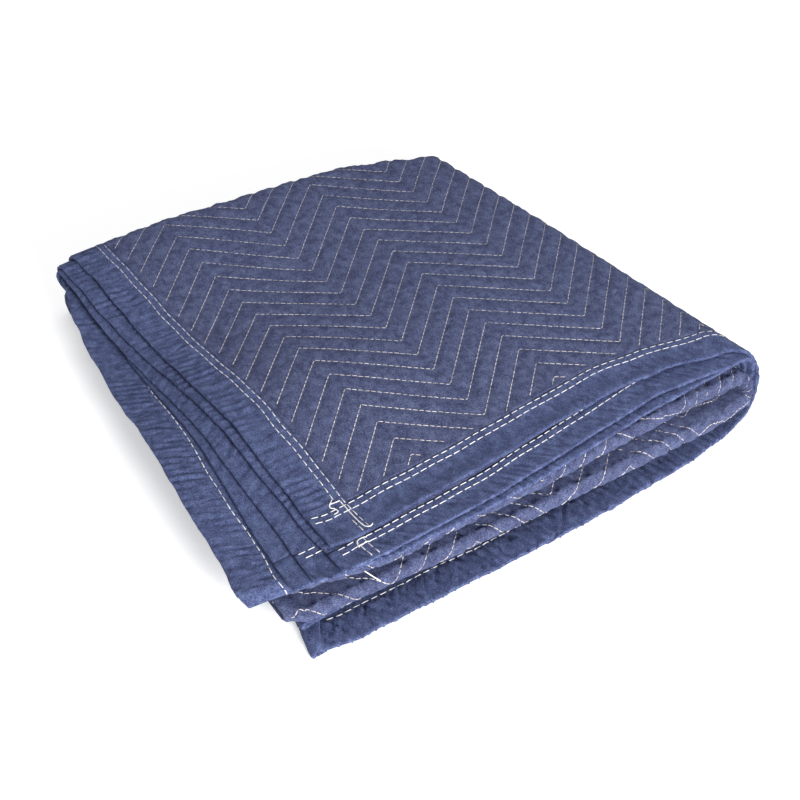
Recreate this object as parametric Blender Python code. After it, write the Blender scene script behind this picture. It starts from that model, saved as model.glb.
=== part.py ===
"""Moving blanket, folded four times into a flat pile of sixteen layers.

The quilted panel and its four binding strips are cut flat, as slabs in a lattice of the cloth's own
two directions, and every point of a slab is then carried through the four folds. "Across" runs from
the hem over the right-hand bend to a crease and back by the same way to the opposite hem. "Along"
does the same from the front hem over the back bend to a crease at the front and back again.
Both directions therefore have seven stretches: flat, bend, flat, crease, flat, bend, flat.

X points right along the front, Y to the back, Z up. Metres. The pile rests flat on Z = 0.
"""
import math

import bmesh
import bpy

# The cloth
THICKNESS = 0.0032       # quilted cloth, face to face
PITCH = 0.0043           # from the middle of one layer to the middle of the next
BINDING_WIDTH = 0.040
SEAM_GAP = 0.0003        # between the panel and a binding strip

# Flat lengths of the stretches beside a hem, used only to say how far along a stretch a point is
ACROSS_SPAN = 0.42
ALONG_SPAN = 0.47

# Where the bends stand: the right-hand one is a line over Y, the back one rows of (x, y)
RIGHT_BEND, RIGHT_BEND_SLOPE = 0.290, -0.048
BACK_EDGE = ((-0.200, 0.0530), (-0.120, 0.0520), (-0.050, 0.0520), (0.000, 0.0500), (0.080, 0.0390),
             (0.140, 0.0340), (0.200, 0.0290), (0.250, 0.0140), (0.290, -0.0050), (0.320, -0.0150))

# Middle of the pile's box, which becomes X = 0, Y = 0
PILE_CENTRE = (0.0776, -0.2012)

# The open edges at the front, rows of (x, y): layers are counted down from the top
FIRST_HEM = ((-0.116, -0.408), (-0.098, -0.4115), (-0.052, -0.411), (0.020, -0.411), (0.190, -0.408), (0.240, -0.414),
             (0.311, -0.430))
SECOND_HEM = ((-0.122, -0.434), (-0.097, -0.436), (-0.080, -0.439), (0.030, -0.441), (0.135, -0.436),
              (0.220, -0.432), (0.311, -0.444))
THIRD_HEM = ((-0.144, -0.427), (-0.118, -0.432), (-0.075, -0.442), (0.030, -0.447), (0.120, -0.445),
             (0.200, -0.441), (0.311, -0.441))
FOURTH_HEM = ((-0.160, -0.420), (0.000, -0.428), (0.311, -0.434))
LOWER_FOURTH_HEM = ((-0.155, -0.425), (0.200, -0.420), (0.311, -0.430))
LOWER_THIRD_HEM = ((-0.155, -0.425), (0.200, -0.418), (0.311, -0.430))
LOWER_SECOND_HEM = ((-0.155, -0.449), (-0.080, -0.441), (0.311, -0.444))
LOWEST_HEM = ((-0.155, -0.449), (-0.120, -0.456), (-0.043, -0.461), (0.040, -0.467), (0.127, -0.471),
              (0.234, -0.471),
              (0.290, -0.465), (0.311, -0.459))

# The folded edges at the front, rows of (x, y), in the upper and the lower half of the pile
UPPER_CREASE = ((-0.190, -0.393), (-0.065, -0.424), (0.115, -0.434), (0.250, -0.437), (0.311, -0.442))
LOWER_CREASE = ((-0.166, -0.412), (-0.153, -0.422), (-0.077, -0.430), (-0.009, -0.438),
                (0.076, -0.445), (0.184, -0.453), (0.270, -0.458), (0.311, -0.455))

# The edges at the left, rows of (position along, x): 0 is the front hem, 1 and 2 the back bend,
# 3 and 4 the front crease, 5 and 6 the back bend again and 7 the opposite front hem
UPPER_SIDE_HEM = ((0.0, -0.116), (0.4, -0.105), (1.0, -0.099), (2.0, -0.100), (2.4, -0.139),
                  (2.7, -0.170), (3.0, -0.190), (4.0, -0.190), (4.4, -0.160), (5.0, -0.112),
                  (6.0, -0.112), (6.5, -0.130), (7.0, -0.160))
LOWER_SIDE_HEM = ((0.0, -0.122), (0.5, -0.112), (0.85, -0.116), (1.0, -0.114), (2.0, -0.115),
                  (2.5, -0.150), (3.0, -0.184), (4.0, -0.184), (4.5, -0.150), (5.0, -0.118),
                  (6.0, -0.118), (6.2, -0.123), (6.5, -0.125), (6.8, -0.135), (7.0, -0.144))
SIDE_CREASE = ((0.0, -0.162), (0.1, -0.149), (0.4, -0.122), (1.0, -0.108), (2.0, -0.108), (3.0, -0.166), (4.0, -0.166),
               (5.0, -0.109), (6.0, -0.109), (7.0, -0.155))

# The soft swell of the pile, as shares of its height
SWELL = 0.040            # crest of the wave near the left
SWELL_LENGTH = 0.280
SWELL_CREST_Y = -0.235
SWELL_REACH = 0.260      # how far to the right the wave dies out
SWELL_X = -0.060
CORNER_DROOP = 0.05      # at the back right corner
DROOP_FROM = (0.080, -0.170)
DROOP_OVER = (0.220, 0.190)
BACK_PUFF = 0.020        # along the back bend
PUFF_CENTRE, PUFF_WIDTH = 0.110, 0.110
PUFF_FROM, PUFF_OVER = -0.150, 0.180

# How finely each stretch is divided
FLAT_STEPS = 7
RIGHT_BEND_STEPS = 6
BACK_BEND_STEPS = 4
CREASE_STEPS = 3

COLLECTION = "moving_blanket"
PANEL_COLOUR = (0.060, 0.072, 0.145, 1.0)
BINDING_COLOUR = (0.052, 0.070, 0.160, 1.0)
ROUGHNESS = 0.85


def smooth_step(value):
    """0 below 0, 1 above 1, and an even rise between."""
    value = min(max(value, 0.0), 1.0)
    return value * value * (3.0 - 2.0 * value)


def mix(first, second, share):
    """The value at a share of the way from first to second."""
    return first + (second - first) * share


def read_table(rows, position):
    """A smooth curve through the rows of (position, value), level past both ends."""
    if position <= rows[0][0]:
        return rows[0][1]
    if position >= rows[-1][0]:
        return rows[-1][1]
    index = max(i for i in range(len(rows) - 1) if rows[i][0] <= position)
    (start, low), (end, high) = rows[index], rows[index + 1]
    return mix(low, high, smooth_blend((position - start) / (end - start)))


def smooth_blend(share):
    """Half way between a straight line and an even rise, so that edges bend without corners."""
    return 0.5 * (share + smooth_step(share))


def front_edge(across, x):
    """Y of the open edges at one place across: the front hem, the front crease, the last hem."""
    turn = bend_share(across)
    side = crease_share(across)
    lower_first = mix(read_table(LOWEST_HEM, x), read_table(LOWER_SECOND_HEM, x), side)
    lower_last = mix(read_table(LOWER_FOURTH_HEM, x), read_table(LOWER_THIRD_HEM, x), side)
    if across < 3.5:
        first = mix(read_table(FIRST_HEM, x), lower_first, turn)
        last = mix(read_table(FOURTH_HEM, x), lower_last, turn)
    else:
        first = mix(read_table(SECOND_HEM, x), lower_first, turn)
        last = mix(read_table(THIRD_HEM, x), lower_last, turn)
    crease = mix(read_table(UPPER_CREASE, x), read_table(LOWER_CREASE, x), turn)
    return first, crease, last


def bend_share(position):
    """How far round its bend a point is: 0 on the hem side, 1 on the crease side."""
    if position < 3.5:
        return min(max(position - 1.0, 0.0), 1.0)
    return min(max(6.0 - position, 0.0), 1.0)


def crease_share(position):
    """How far round the crease a point is: 0 before it, 1 after it."""
    return min(max(position - 3.0, 0.0), 1.0)


def stretch_position(start, end, bend, position, inset):
    """Flat place of a point between the edges start (crease) and end (hem) and the bend.

    inset is the distance from the hem at which the stretch begins to be shared out.
    """
    if position < 1.0:
        return mix(start + inset, bend, position)
    if position > 6.0:
        return mix(bend, start + inset, position - 6.0)
    return mix(bend, end, crease_side_share(position))


def crease_side_share(position):
    """0 at the bend and 1 at the crease, on either side of it."""
    return min(max(min(position, 7.0 - position) - 2.0, 0.0), 1.0)


def nominal(position, inset, span):
    """Position with the inset counted in, for reading the tables at the sides."""
    if position < 1.0:
        return (inset + position * (span - inset)) / span
    if position > 6.0:
        return 7.0 - (inset + (7.0 - position) * (span - inset)) / span
    return position


def swell(x, y):
    """Share of its height that the pile has at one place."""
    wave = SWELL * math.cos(2.0 * math.pi * (y - SWELL_CREST_Y) / SWELL_LENGTH)
    wave *= 1.0 - smooth_step((x - SWELL_X) / SWELL_REACH)
    droop = smooth_step((x - DROOP_FROM[0]) / DROOP_OVER[0])
    droop *= smooth_step((y - DROOP_FROM[1]) / DROOP_OVER[1])
    puff = BACK_PUFF * math.exp(-(((x - PUFF_CENTRE) / PUFF_WIDTH) ** 2))
    puff *= smooth_step((y - PUFF_FROM) / PUFF_OVER)
    return 1.0 + wave + puff - CORNER_DROOP * droop


def fold(across, along, off_middle):
    """Carry a point of the flat cloth through the four folds.

    across and along are (position, inset) pairs, the position running from 0 to 7.
    off_middle is the distance from the middle of the cloth, positive on the face that ends on top.
    """
    (s, s_inset), (t, t_inset) = across, along
    t_table = nominal(t, t_inset, ALONG_SPAN)
    side_hem = read_table(UPPER_SIDE_HEM if s < 3.5 else LOWER_SIDE_HEM, t_table)
    side_crease = read_table(SIDE_CREASE, t_table)
    y = -0.2
    for _ in range(4):
        right = RIGHT_BEND + RIGHT_BEND_SLOPE * y
        x = stretch_position(side_hem, side_crease, right, s, s_inset)
        first, crease, last = front_edge(s, x)
        back = read_table(BACK_EDGE, x)
        y = stretch_position(first if t < 3.5 else last, crease, back, t, t_inset)

    # First fold: half over half, at the left-hand crease
    angle = math.pi * crease_share(s)
    radius = PITCH / 2 + off_middle
    height = PITCH / 2 + radius * math.cos(angle)
    x -= radius * math.sin(angle)

    # Second fold: in half again, at the front crease
    angle = math.pi * crease_share(t)
    radius = PITCH / 2 + height
    height = PITCH * 3 / 2 + radius * math.cos(angle)
    y -= radius * math.sin(angle)

    # Third fold: the bend at the back
    angle = math.pi * bend_share(t)
    radius = PITCH / 2 + height
    height = PITCH * 7 / 2 + radius * math.cos(angle)
    y += radius * math.sin(angle)

    # Fourth fold: the bend at the right
    angle = math.pi * bend_share(s)
    radius = PITCH / 2 + height
    height = PITCH * 15 / 2 + radius * math.cos(angle)
    x += radius * math.sin(angle)

    z = (height + THICKNESS / 2) * swell(x, y)
    return (x - PILE_CENTRE[0], y - PILE_CENTRE[1], z)


def stations(bend_steps):
    """Places of the lattice lines in one direction, as (position, inset) pairs.

    The first two and the last two are the edges of the binding strips.
    """
    outer = BINDING_WIDTH - SEAM_GAP / 2
    inner = BINDING_WIDTH + SEAM_GAP / 2
    steps = (FLAT_STEPS, bend_steps, FLAT_STEPS, CREASE_STEPS, FLAT_STEPS, bend_steps, FLAT_STEPS)
    lines = [(0.0, 0.0), (0.0, outer)]
    for stretch, count in enumerate(steps):
        lines += [(stretch + step / count, inner) for step in range(count)]
    return lines + [(7.0, inner), (7.0, outer), (7.0, 0.0)]


def make_material(name, colour):
    """A matt cloth material."""
    material = bpy.data.materials.new(name)
    material.use_nodes = True
    shader = material.node_tree.nodes["Principled BSDF"]
    shader.inputs["Base Color"].default_value = colour
    shader.inputs["Roughness"].default_value = ROUGHNESS
    return material


def make_cloth(name, across, along, material, collection):
    """Cut one piece as a flat slab between lattice lines, fold it, and add it to the collection."""
    columns, rows = len(across) - 1, len(along) - 1
    mesh = bpy.data.meshes.new(name)
    slab = bmesh.new()
    bmesh.ops.create_grid(slab, x_segments=columns, y_segments=rows, size=0.5)
    raised = bmesh.ops.extrude_face_region(slab, geom=slab.faces[:])
    for item in raised["geom"]:
        if isinstance(item, bmesh.types.BMVert):
            item.co.z = 1.0
    bmesh.ops.recalc_face_normals(slab, faces=slab.faces)
    for vertex in slab.verts:
        column = round((vertex.co.x + 0.5) * columns)
        row = round((vertex.co.y + 0.5) * rows)
        off_middle = THICKNESS * (vertex.co.z - 0.5)
        vertex.co = fold(across[column], along[row], off_middle)
    slab.to_mesh(mesh)
    slab.free()
    mesh.shade_smooth()
    mesh.set_sharp_from_angle(angle=math.radians(60))
    mesh.materials.append(material)
    collection.objects.link(bpy.data.objects.new(name, mesh))


def main():
    for item in list(bpy.data.objects):
        bpy.data.objects.remove(item, do_unlink=True)
    collection = bpy.data.collections.new(COLLECTION)
    bpy.context.scene.collection.children.link(collection)

    quilted = make_material("quilted_cloth", PANEL_COLOUR)
    bound = make_material("binding_cloth", BINDING_COLOUR)
    across = stations(RIGHT_BEND_STEPS)
    along = stations(BACK_BEND_STEPS)

    make_cloth("quilted_panel", across[2:-2], along[2:-2], quilted, collection)
    # Strips at the front hem and its opposite run the whole width, corners included
    whole = across[:2] + across[3:-3] + across[-2:]
    make_cloth("binding_front_hem", whole, along[:2], bound, collection)
    make_cloth("binding_far_hem", whole, along[-2:], bound, collection)
    # Strips at the side hems fit between them
    make_cloth("binding_upper_side", across[:2], along[2:-2], bound, collection)
    make_cloth("binding_lower_side", across[-2:], along[2:-2], bound, collection)


main()
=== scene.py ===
"""Looks of the folded moving blanket: quilted sheet, binding strips, sewing thread, floor, light, camera.

The sheet is laid out flat in its own two directions and carried through four folds, as in the CAD
source. "Across" (s) and "along" (t) are positions from 0 to 7: flat, bend, flat, crease, flat, bend,
flat. All lengths are in metres, and places in the tables are in the pile's own plan, from which
PILE_CENTRE is taken off to reach the CAD frame.
"""

import math

import bpy
import numpy as np
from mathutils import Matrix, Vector
from mathutils.bvhtree import BVHTree


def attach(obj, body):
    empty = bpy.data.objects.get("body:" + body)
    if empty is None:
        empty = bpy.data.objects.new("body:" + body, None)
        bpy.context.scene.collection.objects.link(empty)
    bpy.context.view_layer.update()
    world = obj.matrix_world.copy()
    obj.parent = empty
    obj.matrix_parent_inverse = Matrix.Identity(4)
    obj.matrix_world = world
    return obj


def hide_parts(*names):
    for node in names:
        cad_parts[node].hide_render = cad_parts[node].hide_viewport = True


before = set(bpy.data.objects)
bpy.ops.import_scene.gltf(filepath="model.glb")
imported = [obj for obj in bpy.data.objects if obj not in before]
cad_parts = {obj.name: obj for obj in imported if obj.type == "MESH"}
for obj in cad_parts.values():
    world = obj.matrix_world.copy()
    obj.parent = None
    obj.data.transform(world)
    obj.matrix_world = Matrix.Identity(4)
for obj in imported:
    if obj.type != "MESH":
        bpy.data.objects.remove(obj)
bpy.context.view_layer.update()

# ---- the cloth and its folds, as in CAD
THICKNESS = 0.0032
PITCH = 0.0043
BINDING_WIDTH = 0.0385
BINDING_THICKNESS = 0.0038
SEAM_GAP = 0.0003
ACROSS_SPAN = 0.42
ALONG_SPAN = 0.47
RIGHT_BEND, RIGHT_BEND_SLOPE = 0.290, -0.048
BACK_EDGE = ((-0.2, 0.053), (-0.12, 0.052), (-0.05, 0.052), (0.0, 0.05), (0.08, 0.039),
             (0.14, 0.034), (0.2, 0.029), (0.25, 0.014), (0.29, -0.005), (0.32, -0.015))
PILE_CENTRE = (0.0776, -0.2012)

# Y of each hem and crease at the front, top layer first: rows of (x, y)
FIRST_HEM = ((-0.116, -0.408), (-0.098, -0.4115), (-0.052, -0.411), (0.02, -0.411), (0.19, -0.408),
             (0.24, -0.414), (0.311, -0.43))
SECOND_HEM = ((-0.122, -0.434), (-0.097, -0.436), (-0.08, -0.439), (0.03, -0.441), (0.135, -0.436),
              (0.22, -0.432), (0.311, -0.444))
THIRD_HEM = ((-0.144, -0.427), (-0.118, -0.432), (-0.075, -0.442), (0.03, -0.447), (0.12, -0.445),
             (0.2, -0.441), (0.311, -0.441))
FOURTH_HEM = ((-0.16, -0.42), (0.0, -0.428), (0.311, -0.434))
LOWER_FOURTH_HEM = ((-0.155, -0.425), (0.2, -0.42), (0.311, -0.43))
LOWER_THIRD_HEM = ((-0.155, -0.425), (0.2, -0.418), (0.311, -0.43))
LOWER_SECOND_HEM = ((-0.158, -0.449), (-0.138, -0.42), (0.0, -0.412), (0.2, -0.412), (0.311, -0.44))
LOWEST_HEM = ((-0.155, -0.449), (-0.12, -0.456), (-0.043, -0.461), (0.04, -0.467), (0.127, -0.471),
              (0.234, -0.471), (0.29, -0.465), (0.311, -0.459))
UPPER_CREASE = ((-0.19, -0.393), (-0.065, -0.424), (0.115, -0.434), (0.25, -0.437), (0.311, -0.442))
LOWER_CREASE = ((-0.166, -0.412), (-0.153, -0.422), (-0.077, -0.43), (-0.009, -0.438),
                (0.076, -0.445), (0.184, -0.453), (0.27, -0.458), (0.311, -0.455))
# X of the hems and the crease at the left: rows of (t, x)
UPPER_SIDE_HEM = ((0.0, -0.116), (0.4, -0.105), (1.0, -0.099), (2.0, -0.1), (2.4, -0.139),
                  (2.7, -0.17), (3.0, -0.19), (4.0, -0.197), (4.08, -0.189), (4.16, -0.184),
                  (4.53, -0.162), (4.75, -0.147), (4.85, -0.137), (5.0, -0.117), (6.0, -0.112),
                  (6.5, -0.13), (7.0, -0.16))
LOWER_SIDE_HEM = ((0.0, -0.122), (0.5, -0.112), (0.85, -0.116), (1.0, -0.114), (2.0, -0.115),
                  (2.5, -0.15), (3.0, -0.184), (4.0, -0.184), (4.5, -0.15), (5.0, -0.118),
                  (6.0, -0.117), (6.2, -0.123), (6.5, -0.125), (6.8, -0.135), (7.0, -0.144))
SIDE_CREASE = ((0.0, -0.162), (0.1, -0.149), (0.4, -0.122), (1.0, -0.108), (2.0, -0.108),
               (3.0, -0.166), (4.0, -0.166), (5.0, -0.11), (6.0, -0.108), (7.0, -0.155))

FLOOR_GAP = 0.0002           # the underside lies this little above the floor
SWELL = 0.070                # the pile's height rises and sinks by this share, more to the left
SWELL_LENGTH = 0.280
SWELL_CREST_Y = -0.235
SWELL_REACH = 0.290
SWELL_X = -0.060
CORNER_DROOP = 0.05          # share of the height that the back right corner has lost
DROOP_FROM = (0.080, -0.170)
DROOP_OVER = (0.220, 0.190)
BACK_PUFF = 0.040            # share of the height that the back has gained, round PUFF_CENTRE
PUFF_CENTRE, PUFF_WIDTH = 0.110, 0.110
PUFF_FROM, PUFF_OVER = -0.080, 0.090

# ---- quilting and sewing
LINE_SPACING = 0.024         # from one zigzag line to the next, along Y
ZIGZAG_DEPTH = 0.0725
ZIGZAG_HALF = 0.0806         # from a peak to the next valley
QUILT_DEPTH = 0.0013
QUILT_WIDTH = 0.0032
QUILT_PITCH = 0.0056
QUILT_DASH = 0.0049
ROW_GAP = 0.0066             # between the two rows of stitches of a binding
BINDING_PITCH = 0.0088
BINDING_DASH = 0.0074
QUILT_THREAD = 0.00043       # radius of the thread
BINDING_THREAD = 0.00047
SHORTEST_DASH = 0.002
THINNED = 0.36               # share of its radius that the thread loses toward the back right
THIN_FROM, THIN_OVER = -0.250, 0.420

UPPER_ROW_BREAK = (0.016, 0.040)   # stretch of the upper side's outer row that has no stitches
FAR_SEWN_FROM = 0.40               # the far hem's rows are turned under before this place
NEAR_ROW = 0.03                    # about how far a row of stitches is from its hem
ROW_END = 0.006                    # the rows of stitches stop this far, of a stretch, from the end

# Loose thread at the front left corner, in plan, where it goes back on itself, loops and ends
CORNER_PATHS = (
    ((-0.0853, -0.364), (-0.0872, -0.366), (-0.089, -0.3672), (-0.085, -0.3682), (-0.0803, -0.369)),
    ((-0.0893, -0.3672), (-0.0912, -0.37), (-0.089, -0.374), (-0.0888, -0.3782), (-0.0934, -0.3792)),
    ((-0.0806, -0.37), (-0.0812, -0.38), (-0.0818, -0.392), (-0.082, -0.401), (-0.0812, -0.4062),
     (-0.0792, -0.4082), (-0.0765, -0.408), (-0.0742, -0.4062)),
    ((-0.0852, -0.413), (-0.0868, -0.412), (-0.09, -0.4112), (-0.094, -0.4122), (-0.0962, -0.415),
     (-0.0968, -0.419)),
    ((-0.0966, -0.417), (-0.093, -0.4178), (-0.089, -0.4172), (-0.086, -0.419)),
)
# A thread's end that hangs free, in the CAD frame
HANGING_END = ((-0.185, -0.2386, 0.059), (-0.1826, -0.2426, 0.0568), (-0.179, -0.2466, 0.053),
               (-0.176, -0.2491, 0.05))

# Distance from the hem to the nearer row of stitches: rows of (position along the hem, distance)
FRONT_ROW = ((0.0, 0.03), (0.5, 0.0285), (1.0, 0.0265), (2.0, 0.029), (3.0, 0.03), (4.0, 0.028),
             (6.0, 0.0265), (6.5, 0.022), (6.9, 0.0205), (7.0, 0.0165))
FAR_ROW = ((0.0, 0.028), (6.0, 0.0265), (6.8, 0.0295), (6.93, 0.034), (7.0, 0.029))
UPPER_ROW = ((0.0, 0.0305), (0.4, 0.03), (0.7, 0.029), (1.0, 0.0265), (4.0, 0.034), (4.2, 0.0315),
             (4.5, 0.032), (5.0, 0.03), (7.0, 0.0285))
LOWER_ROW = ((0.0, 0.0265), (1.0, 0.028), (7.0, 0.025))
ROWS = {"front": FRONT_ROW, "far": FAR_ROW, "upper": UPPER_ROW, "lower": LOWER_ROW}
BEYOND_ROWS = 0.0019         # of a strip, past its second row of stitches

SEED = 7


# ---- small helpers
def smooth_step(value):
    value = np.clip(value, 0.0, 1.0)
    return value * value * (3.0 - 2.0 * value)


def mix(first, second, share):
    return first + (second - first) * share


def from_end(position):
    """How far a place is from the nearer edge of the cloth, in stretches."""
    return np.minimum(position, 7 - position)


def unit(vectors):
    return vectors / np.maximum(np.linalg.norm(vectors, axis=1, keepdims=True), 1e-9)


def reach_along(points):
    """Distance along a polyline to each of its points."""
    return np.concatenate([[0], np.cumsum(np.linalg.norm(np.diff(points, axis=0), axis=1))])


def add_object(name, data):
    item = bpy.data.objects.new(name, data)
    bpy.context.scene.collection.objects.link(item)
    return item


def read_table(rows, position):
    """A smooth curve through the rows of (position, value), level past both ends."""
    places, values = np.array(rows).T
    position = np.clip(position, places[0], places[-1])
    index = np.clip(np.searchsorted(places, position, side="right") - 1, 0, len(places) - 2)
    share = (position - places[index]) / (places[index + 1] - places[index])
    return mix(values[index], values[index + 1], 0.5 * (share + smooth_step(share)))


class Ripples:
    """A smooth random field over two directions, from a sum of waves, about -1 to 1."""

    SPREAD = 0.6

    def __init__(self, seed, length_a, length_b, count=14):
        random = np.random.default_rng(seed)
        self.a = 2 * math.pi / length_a * (1 + self.SPREAD * random.uniform(-1, 1, count))
        self.b = 2 * math.pi / length_b * random.uniform(-1, 1, count)
        self.phase = random.uniform(0, 2 * math.pi, count)
        self.scale = math.sqrt(2.0 / count) / 1.6

    def __call__(self, a, b):
        total = 0.0
        for ka, kb, phase in zip(self.a, self.b, self.phase):
            total = total + np.sin(ka * a + kb * b + phase)
        return total * self.scale


class Creases:
    """Sharp wrinkles across a seam or a fold, each with its own place, slant, width, depth and reach."""

    START, END = -0.4, 2.4       # stretch of the unfolded cloth that has them

    def __init__(self, seed, spacing, depth, width, reach, slant):
        random = np.random.default_rng(seed)
        steps = spacing * random.uniform(0.35, 1.75, int((self.END - self.START) / spacing))
        self.place = self.START + np.cumsum(steps)
        number = len(steps)
        self.slant = slant * random.normal(0, 1, number)
        self.width = width * random.uniform(0.6, 1.6, number)
        self.depth = depth * random.uniform(0.2, 1.0, number) ** 1.8
        self.reach = reach * random.uniform(0.35, 1.3, number)

    def __call__(self, along, away):
        """Depth at a distance along the seam and away from it."""
        total = np.zeros(np.broadcast(along, away).shape)
        nearest = np.searchsorted(self.place, along)
        for shift in range(-3, 3):
            index = np.clip(nearest + shift, 0, len(self.place) - 1)
            off = (along - self.place[index] - self.slant[index] * away) / self.width[index]
            fade = 1 - smooth_step(np.abs(away) / self.reach[index])
            total += self.depth[index] * np.exp(-off * off) * fade
        return total


# ---- the folds
def bend_share(position):
    """How far round its bend, the back or the right one, a place of the cloth is."""
    return np.where(position < 3.5, np.clip(position - 1, 0, 1), np.clip(6 - position, 0, 1))


def crease_share(position):
    """How far round its crease a place of the cloth is."""
    return np.clip(position - 3, 0, 1)


def crease_side_share(position):
    """Share of the way from a bend to the crease."""
    return np.clip(from_end(position) - 2, 0, 1)


def nominal(position, inset, span):
    """The place that a point would have in a stretch that had no inset at its hem."""
    near = (inset + position * (span - inset)) / span
    far = 7 - (inset + (7 - position) * (span - inset)) / span
    return np.where(position < 1, near, np.where(position > 6, far, position))


def stretch_position(hem, crease, bend, position, inset):
    """Plan position between the hem, the bend and the crease that bound a stretch."""
    near = mix(hem + inset, bend, np.clip(position, 0, 1))
    far = mix(hem + inset, bend, np.clip(7 - position, 0, 1))
    inner = mix(bend, crease, crease_side_share(position))
    return np.where(position < 1, near, np.where(position > 6, far, inner))


def front_edges(s, x):
    """Y of the front hem, the front crease and the far hem at one place across."""
    bent, creased = bend_share(s), crease_share(s)
    lower_first = mix(read_table(LOWEST_HEM, x), read_table(LOWER_SECOND_HEM, x), creased)
    lower_last = mix(read_table(LOWER_FOURTH_HEM, x), read_table(LOWER_THIRD_HEM, x), creased)
    upper_first = np.where(s < 3.5, read_table(FIRST_HEM, x), read_table(SECOND_HEM, x))
    upper_last = np.where(s < 3.5, read_table(FOURTH_HEM, x), read_table(THIRD_HEM, x))
    crease = mix(read_table(UPPER_CREASE, x), read_table(LOWER_CREASE, x), bent)
    return mix(upper_first, lower_first, bent), crease, mix(upper_last, lower_last, bent)


def swell(x, y):
    """Share by which the pile's height differs from that of evenly stacked layers."""
    wave = SWELL * np.cos(2 * math.pi * (y - SWELL_CREST_Y) / SWELL_LENGTH)
    wave = wave * (1 - smooth_step((x - SWELL_X) / SWELL_REACH))
    droop = smooth_step((x - DROOP_FROM[0]) / DROOP_OVER[0])
    droop = droop * smooth_step((y - DROOP_FROM[1]) / DROOP_OVER[1])
    puff = BACK_PUFF * np.exp(-(((x - PUFF_CENTRE) / PUFF_WIDTH) ** 2))
    puff = puff * smooth_step((y - PUFF_FROM) / PUFF_OVER)
    return 1 + wave + puff - CORNER_DROOP * droop


OUTER_RIGHT = PITCH * 7.5 + THICKNESS / 2
OUTER_BACK = PITCH * 3.5 + THICKNESS / 2
ALONG_MIDDLE = -0.2
SETTLING_ROUNDS = 4          # x and y depend on each other through the slanting edges


def lay_flat(s, s_inset, t, t_inset):
    """Plan position of a point before the turns, and its place on the unfolded cloth."""
    t_table = nominal(t, t_inset, ALONG_SPAN)
    upper_hem, lower_hem = read_table(UPPER_SIDE_HEM, t_table), read_table(LOWER_SIDE_HEM, t_table)
    side_hem = np.where(s < 3.5, upper_hem, lower_hem)
    side_crease = read_table(SIDE_CREASE, t_table)
    y = ALONG_MIDDLE
    for _ in range(SETTLING_ROUNDS):
        right = RIGHT_BEND + RIGHT_BEND_SLOPE * y
        x = stretch_position(side_hem, side_crease, right, s, s_inset)
        first, crease, last = front_edges(s, x)
        back = read_table(BACK_EDGE, x)
        y = stretch_position(np.where(t < 3.5, first, last), crease, back, t, t_inset)
    turn_right, turn_back = bend_share(s), bend_share(t)
    past_right = right + OUTER_RIGHT * math.pi * turn_right + (right - x) * (turn_right >= 1)
    cloth_x = np.where(turn_right > 0, past_right, x)
    crease_x = right + OUTER_RIGHT * math.pi + right - side_crease
    cloth_x = np.where(s > 3.5, 2 * crease_x + PITCH - cloth_x, cloth_x)
    cloth_x = cloth_x + crease_share(s) * PITCH * (s < 3.5)
    past_back = back + OUTER_BACK * math.pi * turn_back + (back - y) * (turn_back >= 1)
    cloth_y = np.where(turn_back > 0, past_back, y)
    crease_y = back + OUTER_BACK * math.pi + back - crease
    wrap = PITCH * 1.5 * math.pi
    cloth_y = cloth_y + np.where(t < 4, crease_share(t) * wrap, 0)
    cloth_y = np.where(t >= 4, 2 * crease_y + wrap - cloth_y, cloth_y)
    return x, y, cloth_x, cloth_y


def turn(place, height, share, axis, way):
    """Turn cloth over an axis that lies axis pitches up; way is the side, 1 or -1, that the turn is on."""
    angle = math.pi * share
    radius = PITCH / 2 + height
    return place + way * radius * np.sin(angle), PITCH * axis + radius * np.cos(angle)


def fold(s, s_inset, t, t_inset, off_middle):
    """Carry points of the flat cloth through the four folds; returns points and cloth places."""
    x, y, cloth_x, cloth_y = lay_flat(s, s_inset, t, t_inset)
    x, height = turn(x, off_middle, crease_share(s), 0.5, -1)
    y, height = turn(y, height, crease_share(t), 1.5, -1)
    y, height = turn(y, height, bend_share(t), 3.5, 1)
    x, height = turn(x, height, bend_share(s), 7.5, 1)
    z = np.maximum((height + THICKNESS / 2) * swell(x, y), FLOOR_GAP)
    points = np.stack([x - PILE_CENTRE[0], y - PILE_CENTRE[1], z], axis=-1)
    return points, np.stack([cloth_x, cloth_y], axis=-1)


# ---- surface relief
PUFF = Ripples(SEED, 0.021, 0.017)
FINE_PUFF = Ripples(SEED + 1, 0.0080, 0.0075)
PUCKER = Ripples(SEED + 2, 0.0110, 0.060)
CREASE_PUCKER = Ripples(SEED + 3, 0.0130, 0.030)
HEM_WANDER = Ripples(SEED + 4, 0.050, 0.5)
ROW_WANDER = Ripples(SEED + 5, 0.075, 0.5)
FOLD_CREASES = Creases(SEED + 6, 0.0068, 0.0026, 0.0015, 0.036, 0.30)
FINE_CREASES = Creases(SEED + 13, 0.0042, 0.0011, 0.0011, 0.022, 0.35)
SEAM_TUCKS = Creases(SEED + 7, 0.0075, 0.0021, 0.0016, 0.030, 0.45)
DEEP_TUCKS = Creases(SEED + 8, 0.0170, 0.0048, 0.0014, 0.040, 0.60)
SHORT_TUCKS = Creases(SEED + 10, 0.0070, 0.0030, 0.0009, 0.018, 0.60)
CRUMPLE = Ripples(SEED + 11, 0.022, 0.017, count=9)
LIFT = Ripples(SEED + 12, 0.110, 0.5)
QUILT_TUCKS = Creases(SEED + 9, 0.0080, 0.0007, 0.0014, 0.014, 0.5)

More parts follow.
